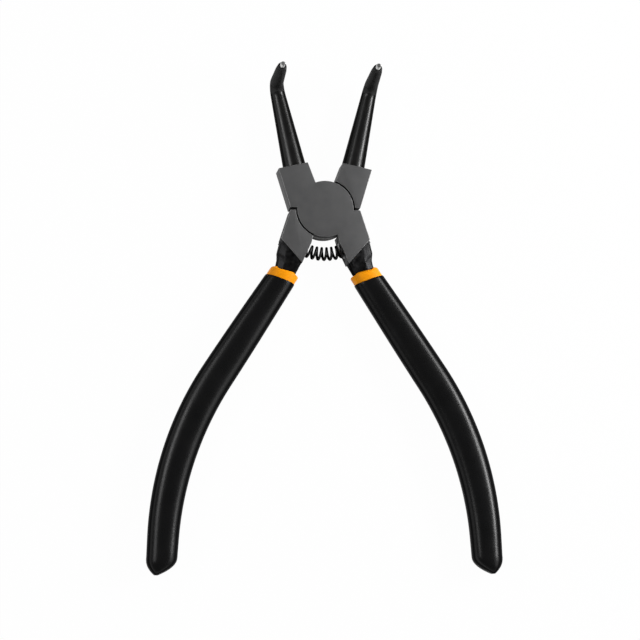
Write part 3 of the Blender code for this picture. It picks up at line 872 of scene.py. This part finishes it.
def broken_edge():
    paint = Paint("broken_edge", (0.26, 0.26, 0.26), metallic=1.0, roughness=0.4)
    paint.tint(paint.noise(1500, detail=4), dark=0.6, light=1.3)
    paint.bump(paint.noise(4000, detail=2), 0.004 * MM, strength=0.4)
    return paint.material


def nose_black():
    paint = Paint("nose_black", (0.0025, 0.0024, 0.0022), roughness=0.3)
    patches = paint.noise(300, detail=4)
    paint.fade_gloss(facing=0.45, grazing=0.01, start=0.17, end=0.36)
    paint.rough(patches, 0.26, 0.36)
    paint.tint(patches, dark=0.85, light=1.2)
    paint.bump(paint.noise(2600, detail=3), 0.002 * MM, strength=0.3)
    return paint.material


# On the nose's bent end this is the real matte finish; on the plate's tang, rim and ear walls its
# dark colour is painted shade.
def matte_black_and_wall_shade():
    paint = Paint("matte_black_and_wall_shade", (0.015, 0.015, 0.015), specular=0.3)
    marks = paint.noise(420, detail=4, stretch=(1, 1, 2.2))
    paint.fade_gloss(facing=0.3, grazing=0.02, start=0.12, end=0.5)
    paint.rough(marks, 0.45, 0.6)
    paint.tint(marks, dark=0.6, light=1.7)
    paint.bump(paint.noise(1200, detail=4), 0.03 * MM, strength=0.7)
    return paint.material


def forged_black():
    paint = Paint("forged_black", (0.02, 0.02, 0.0205), metallic=1.0, roughness=0.36)
    scale = paint.noise(700, detail=5)
    paint.edge_tint(0.2)
    paint.rough(scale, 0.3, 0.5)
    paint.tint(scale, dark=0.6, light=1.5)
    paint.bump(scale, 0.05 * MM, strength=0.7)
    return paint.material


def black_vinyl():
    paint = Paint("black_vinyl", (0.0025, 0.0025, 0.0027), roughness=0.28, specular=0.28)
    paint.fade_gloss(facing=0.3, grazing=0.01, start=0.19, end=0.36)
    paint.rough(paint.noise(180, detail=4), 0.25, 0.31)
    paint.tint(paint.noise(90, detail=3), dark=0.8, light=1.25)
    paint.bump(paint.noise(120, detail=3), 0.06 * MM, strength=0.4)
    paint.bump(paint.cells(2600), 0.02 * MM, strength=0.6)
    return paint.material


def orange_vinyl():
    paint = Paint("orange_vinyl", (1.0, 0.35, 0.004), roughness=0.42, specular=0.12)
    paint.rough(paint.noise(200, detail=4), 0.36, 0.48)
    paint.tint(paint.noise(260, detail=4), dark=0.94, light=1.03)
    paint.bump(paint.noise(420, detail=3), 0.05 * MM, strength=0.4)
    return paint.material


def spring_steel():
    paint = Paint("spring_steel", (0.03, 0.03, 0.03), metallic=1.0, roughness=0.38)
    drawn = paint.noise(1800, detail=4)
    paint.edge_tint(0.1)
    paint.rough(drawn, 0.32, 0.48)
    paint.tint(drawn, dark=0.7, light=1.6)
    paint.bump(drawn, 0.01 * MM, strength=0.5)
    return paint.material


def bright_steel():
    paint = Paint("bright_steel", (0.62, 0.62, 0.61), metallic=1.0, roughness=0.25)
    rings = paint.noise(900, detail=3, stretch=(1, 1, 9))
    paint.rough(rings, 0.2, 0.36)
    paint.tint(rings, dark=0.85, light=1.05)
    paint.bump(rings, 0.006 * MM, strength=0.5)
    return paint.material


def dress(piece, body, node, slot_name, *materials):
    """Rides the piece on its body in place of the CAD node and gives it its finish."""
    for material in materials:
        piece.data.materials.append(material)
    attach(piece, body)
    if node:
        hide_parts(node)


def build_object():
    """Dresses both halves and the spring; the pivot pin stays as the CAD has it."""
    ground, edge, gloss, matte_and_wall_shade = ground_steel(), broken_edge(), nose_black(), matte_black_and_wall_shade()
    forging, black, orange = forged_black(), black_vinyl(), orange_vinyl()
    bright, wire = bright_steel(), spring_steel()
    for half, jaw_side, in_front in (("front", LEFT, True), ("back", RIGHT, False)):
        body = f"{half}_half"
        jaw, tang = ("left", "right") if in_front else ("right", "left")
        plate = lever_plate(f"{half}_plate", jaw_side, in_front)
        # The plate's tang, rim and ear walls take the dark matte black as painted shade.
        dress(plate, body, f"{half}_lever", "tool_steel", ground, edge, matte_and_wall_shade)
        cone, shoulder, direction = nose(f"{jaw}_nose", jaw_side)
        dress(cone, body, None, "tool_steel", gloss, matte_and_wall_shade)
        pin = tip_pin(f"{jaw}_pin", shoulder, direction)
        dress(pin, body, f"{jaw}_tip_pin", "bright_steel", bright)
        dress(shank(f"{tang}_shank", -jaw_side), body, None, "tool_steel", forging)
        dress(core(f"{tang}_core", -jaw_side), body, None, "tool_steel", forging)
        coat = undercoat(f"{tang}_collar", -jaw_side)
        dress(coat, body, f"{tang}_undercoat", "orange_vinyl", orange)
        handle = grip(f"{tang}_handle", -jaw_side)
        dress(handle, body, f"{tang}_grip", "black_vinyl", black)
    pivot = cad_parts["pivot_pin"]
    pivot.data.materials.clear()
    pivot.data.materials.append(ground)
    spring = return_spring("coil_spring")
    spring.data.materials.append(wire)
    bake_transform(spring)
    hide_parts("return_spring")


def seen_by_rays(tree, *names):
    """The largest of the light path's named outputs."""
    path = tree.nodes.new("ShaderNodeLightPath")
    most = path.outputs[names[0]]
    for name in names[1:]:
        node = tree.nodes.new("ShaderNodeMath")
        node.operation = "MAXIMUM"
        tree.links.new(most, node.inputs[0])
        tree.links.new(path.outputs[name], node.inputs[1])
        most = node.outputs[0]
    return most


def mix_shaders(tree, factor, first, second):
    mix = tree.nodes.new("ShaderNodeMixShader")
    tree.links.new(factor, mix.inputs["Fac"])
    tree.links.new(first, mix.inputs[1])
    tree.links.new(second, mix.inputs[2])
    return mix.outputs[0]


def make_floor():
    """A pale floor that shows white, keeps a faint shadow and can be looked through from below."""
    shape = bmesh.new()
    bmesh.ops.create_grid(shape, x_segments=1, y_segments=1, size=FLOOR_HALF_SIZE)
    floor = finish_mesh("floor", shape)
    material = bpy.data.materials.new("floor")
    material.use_nodes = True
    tree = material.node_tree
    pale = tree.nodes["Principled BSDF"]
    pale.inputs["Base Color"].default_value = FLOOR_COLOUR
    pale.inputs["Roughness"].default_value = FLOOR_ROUGHNESS
    pale.inputs["Specular IOR Level"].default_value = 0.0
    seen = seen_by_rays(tree, "Is Camera Ray", "Is Glossy Ray", "Is Transmission Ray")
    share = tree.nodes.new("ShaderNodeMath")
    share.operation = "MULTIPLY"
    share.inputs[1].default_value = FLOOR_WHITE
    tree.links.new(seen, share.inputs[0])
    white = tree.nodes.new("ShaderNodeEmission").outputs[0]
    shown = mix_shaders(tree, share.outputs[0], pale.outputs[0], white)
    underside = tree.nodes.new("ShaderNodeNewGeometry").outputs["Backfacing"]
    clear = tree.nodes.new("ShaderNodeBsdfTransparent").outputs[0]
    shown = mix_shaders(tree, underside, shown, clear)
    tree.links.new(shown, tree.nodes["Material Output"].inputs["Surface"])
    floor.data.materials.append(material)


def make_world():
    """A soft studio all round, pale at the horizon and dim overhead."""
    world = bpy.data.worlds.new("studio")
    world.use_nodes = True
    bpy.context.scene.world = world
    tree = world.node_tree
    soft = tree.nodes["Background"]
    soft.inputs["Color"].default_value = (1, 1, 1, 1)
    split = tree.nodes.new("ShaderNodeSeparateXYZ")
    fade = tree.nodes.new("ShaderNodeMapRange")
    fade.inputs["From Min"].default_value = HORIZON_UP_TO
    fade.inputs["From Max"].default_value = OVERHEAD_FROM
    fade.inputs["To Min"].default_value = HORIZON_LIGHT
    fade.inputs["To Max"].default_value = OVERHEAD_LIGHT
    sky = tree.nodes.new("ShaderNodeTexCoord").outputs["Generated"]
    tree.links.new(sky, split.inputs["Vector"])
    tree.links.new(split.outputs["Z"], fade.inputs["Value"])
    tree.links.new(fade.outputs["Result"], soft.inputs["Strength"])


def softbox(name, place, size, radiance):
    """An area lamp that faces the tool's long axis."""
    light = bpy.data.lights.new(name, "AREA")
    light.shape = "RECTANGLE"
    light.size, light.size_y = size
    light.energy = radiance * math.pi * size[0] * size[1]
    lamp = new_object(name, light)
    lamp.location = place
    across = Vector((place[0], 0, place[2]))
    lamp.rotation_euler = (-across).to_track_quat("-Z", "Y").to_euler()
    lamp.visible_camera = False


def make_camera():
    """The camera fitted to the photo; its distance fixes the lens."""
    tilt = Matrix.Rotation(-CAMERA_PITCH, 3, "X") @ Matrix.Rotation(CAMERA_YAW, 3, "Y")
    back = (Matrix.Rotation(CAMERA_ROLL, 3, "Z") @ tilt).transposed()
    offset = Vector((-CAMERA_SHIFT[0], -CAMERA_SHIFT[1], CAMERA_DISTANCE)) * PIXEL
    data = bpy.data.cameras.new("camera")
    data.sensor_width = SENSOR_WIDTH
    data.lens = SENSOR_WIDTH * CAMERA_DISTANCE / FRAME_PIXELS
    data.clip_start, data.clip_end = CAMERA_CLIP
    camera = new_object("camera", data)
    place = back @ offset + Vector((0, 0, MIDDLE))
    camera.matrix_world = Matrix.Translation(place) @ back.to_4x4()
    bpy.context.scene.camera = camera


def make_studio():
    make_floor()
    make_world()
    for settings in SOFTBOXES:
        softbox(*settings)
    make_camera()
    bpy.context.scene.view_settings.view_transform = "Standard"


build_object()
make_studio()
